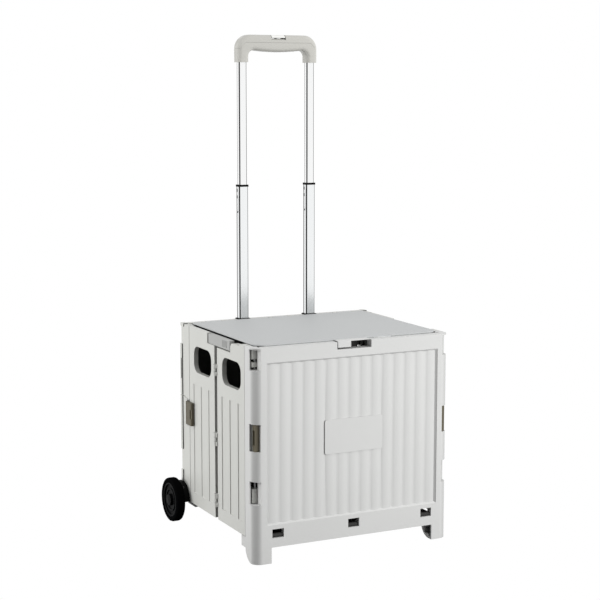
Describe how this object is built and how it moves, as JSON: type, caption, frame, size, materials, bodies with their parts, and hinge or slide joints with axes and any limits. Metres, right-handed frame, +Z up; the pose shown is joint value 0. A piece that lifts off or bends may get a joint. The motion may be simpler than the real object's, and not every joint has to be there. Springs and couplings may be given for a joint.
{
  "type": "folding wheeled crate",
  "caption": "Collapsible lidded crate on rear wheels, with bi-fold side walls, moulded front feet and a telescoping pull handle.",
  "frame": {"origin": "on the ground under the middle of the object's outline at rest", "axes": "+Z up along the pull handle, +Y from the front panel back to the handle, +X along the wheel axles"},
  "size_m": [0.4868, 0.397, 0.99],
  "materials": {
    "black_plastic": "matt black plastic",
    "body_plastic": "satin moulded polypropylene, light grey",
    "button_plastic": "satin pale grey plastic",
    "front_plastic": "satin moulded polypropylene, light grey",
    "grip_plastic": "satin warm grey plastic",
    "latch_plastic": "satin taupe plastic",
    "lid_plastic": "fine-grained moulded plastic, mid grey",
    "pad_rubber": "matt black rubber",
    "slider_plastic": "satin grey plastic",
    "steel": "plated steel",
    "tube_aluminium": "bright anodised",
    "tyre_rubber": "matt black rubber"
  },
  "bodies": {
    "back": {"back_frame": "body_plastic", "rear_hinge_pins": "steel", "socket_tubes": "tube_aluminium", "socket_bushes": "black_plastic", "socket_plugs": "black_plastic", "left_wheel_bracket": "black_plastic", "right_wheel_bracket": "black_plastic", "left_axle": "steel", "right_axle": "steel", "bracket_screws": "steel", "latch_pins": "steel", "lid_hinge_pin": "steel", "back_cover": "body_plastic"},
    "left_rear": {"left_rear_wall": "body_plastic", "left_mid_pins": "steel"},
    "left_front": {"left_front_wall": "body_plastic"},
    "right_rear": {"right_rear_wall": "body_plastic", "right_mid_pins": "steel"},
    "right_front": {"right_front_wall": "body_plastic"},
    "left_lock": {"left_slider": "slider_plastic"},
    "right_lock": {"right_slider": "slider_plastic"},
    "front": {"front_panel": "front_plastic", "label_plate": "front_plastic", "front_hinge_pins": "steel", "latch_keepers": "latch_plastic", "floor_pins": "steel", "foot_pads": "pad_rubber"},
    "floor": {"floor_panel": "body_plastic"},
    "lid": {"lid": "lid_plastic", "lid_tab": "front_plastic"},
    "handle_lower": {"lower_tubes": "tube_aluminium", "lower_collars": "black_plastic", "lower_guides": "black_plastic", "lower_detents": "steel"},
    "handle_upper": {"upper_tubes": "tube_aluminium", "upper_guides": "black_plastic", "upper_detents": "steel", "release_rods": "steel", "release_bar": "black_plastic", "grip_top_shell": "grip_plastic", "grip_lower_shell": "grip_plastic", "grip_screws": "steel", "button_spring": "steel"},
    "button": {"release_button": "button_plastic"},
    "left_wheel": {"left_tyre": "tyre_rubber", "left_hub": "black_plastic", "left_hub_cap": "black_plastic"},
    "right_wheel": {"right_tyre": "tyre_rubber", "right_hub": "black_plastic", "right_hub_cap": "black_plastic"},
    "left_latch": {"left_latch": "latch_plastic"},
    "right_latch": {"right_latch": "latch_plastic"}
  },
  "joints": [
    {"name": "left_rear_fold", "type": "hinge", "parent": "back", "child": "left_rear", "pos_m": [-0.197, 0.1295, 0.23], "axis": [0, 0, 1], "range_deg": [0, 89]},
    {"name": "left_front_fold", "type": "hinge", "parent": "left_rear", "child": "left_front", "pos_m": [-0.211, -0.0225, 0.23], "axis": [0, 0, 1], "range_deg": [-178, 0]},
    {"name": "front_fold", "type": "hinge", "parent": "left_front", "child": "front", "pos_m": [-0.197, -0.1745, 0.23], "axis": [0, 0, 1], "range_deg": [0, 89]},
    {"name": "right_rear_fold", "type": "hinge", "parent": "back", "child": "right_rear", "pos_m": [0.197, 0.1295, 0.23], "axis": [0, 0, 1], "range_deg": [-89, 0]},
    {"name": "right_front_fold", "type": "hinge", "parent": "right_rear", "child": "right_front", "pos_m": [0.211, -0.0225, 0.23], "axis": [0, 0, 1], "range_deg": [0, 178]},
    {"name": "left_lock_slide", "type": "slide", "parent": "left_rear", "child": "left_lock", "axis": [0, 1, 0], "range_m": [0, 0.077]},
    {"name": "right_lock_slide", "type": "slide", "parent": "right_rear", "child": "right_lock", "axis": [0, 1, 0], "range_m": [0, 0.077]},
    {"name": "floor_flip", "type": "hinge", "parent": "front", "child": "floor", "pos_m": [0, -0.1912, 0.052], "axis": [1, 0, 0], "range_deg": [0, 90]},
    {"name": "lid_hinge", "type": "hinge", "parent": "back", "child": "lid", "pos_m": [0, 0.129, 0.4112], "axis": [-1, 0, 0], "range_deg": [0, 90]},
    {"name": "handle_lower_slide", "type": "slide", "parent": "back", "child": "handle_lower", "axis": [0, 0, 1], "range_m": [-0.262, 0]},
    {"name": "handle_upper_slide", "type": "slide", "parent": "handle_lower", "child": "handle_upper", "axis": [0, 0, 1], "range_m": [-0.24, 0]},
    {"name": "button_press", "type": "slide", "parent": "handle_upper", "child": "button", "axis": [0, 0, -1], "range_m": [0, 0.004], "stiffness_N_per_m": 400, "springref_m": -0.002, "deforming": ["button_spring"]},
    {"name": "left_wheel_spin", "type": "hinge", "parent": "back", "child": "left_wheel", "pos_m": [-0.232, 0.1535, 0.045], "axis": [1, 0, 0], "continuous": true},
    {"name": "right_wheel_spin", "type": "hinge", "parent": "back", "child": "right_wheel", "pos_m": [0.232, 0.1535, 0.045], "axis": [1, 0, 0], "continuous": true},
    {"name": "left_latch_swing", "type": "hinge", "parent": "back", "child": "left_latch", "pos_m": [-0.2139, 0.1155, 0.231], "axis": [0, 0, -1], "range_deg": [0, 50]},
    {"name": "right_latch_swing", "type": "hinge", "parent": "back", "child": "right_latch", "pos_m": [0.2139, 0.1155, 0.231], "axis": [0, 0, 1], "range_deg": [0, 50]}
  ],
  "couplings": [
    {"joint": "left_front_fold", "follows": "left_rear_fold", "ratio": -2},
    {"joint": "front_fold", "follows": "left_rear_fold", "ratio": 1},
    {"joint": "right_rear_fold", "follows": "left_rear_fold", "ratio": -1},
    {"joint": "right_front_fold", "follows": "left_rear_fold", "ratio": 2},
    {"joint": "left_lock_slide", "follows": "left_rear_fold", "m_per_rad": 0.049571},
    {"joint": "right_lock_slide", "follows": "left_rear_fold", "m_per_rad": 0.049571}
  ]
}
